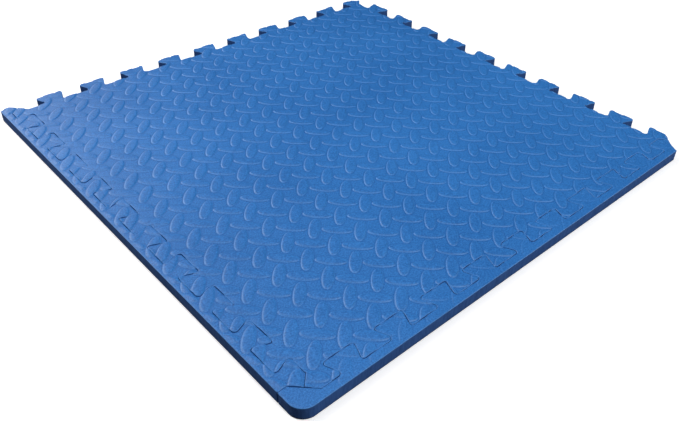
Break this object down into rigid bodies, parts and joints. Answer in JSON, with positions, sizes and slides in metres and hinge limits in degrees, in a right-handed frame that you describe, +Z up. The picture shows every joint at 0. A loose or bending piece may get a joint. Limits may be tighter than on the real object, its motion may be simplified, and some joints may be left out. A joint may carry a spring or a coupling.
{
  "type": "interlocking foam floor mat",
  "caption": "Square foam mat with a raised tread and toothed sides, with a straight clip-on border and a corner border on two sides.",
  "frame": {"origin": "centre of the mat's underside, midway between its four corner points", "axes": "+Z up through the thickness; the straight border closes the -X side, the corner border closes the -Y side, and the +X and +Y sides are open for the next mats"},
  "size_m": [0.6299, 0.6299, 0.0155],
  "materials": {
    "foam": "satin"
  },
  "bodies": {
    "mat": {"foam_mat_tile": "foam"},
    "straight_border": {"straight_edge_border": "foam"},
    "corner_border": {"corner_edge_border": "foam"}
  },
  "joints": [
    {"name": "straight_border_lift", "type": "slide", "parent": "mat", "child": "straight_border", "axis": [0, 0, 1], "range_m": [0, 0.03]},
    {"name": "corner_border_lift", "type": "slide", "parent": "mat", "child": "corner_border", "axis": [0, 0, 1], "range_m": [0, 0.03]}
  ]
}
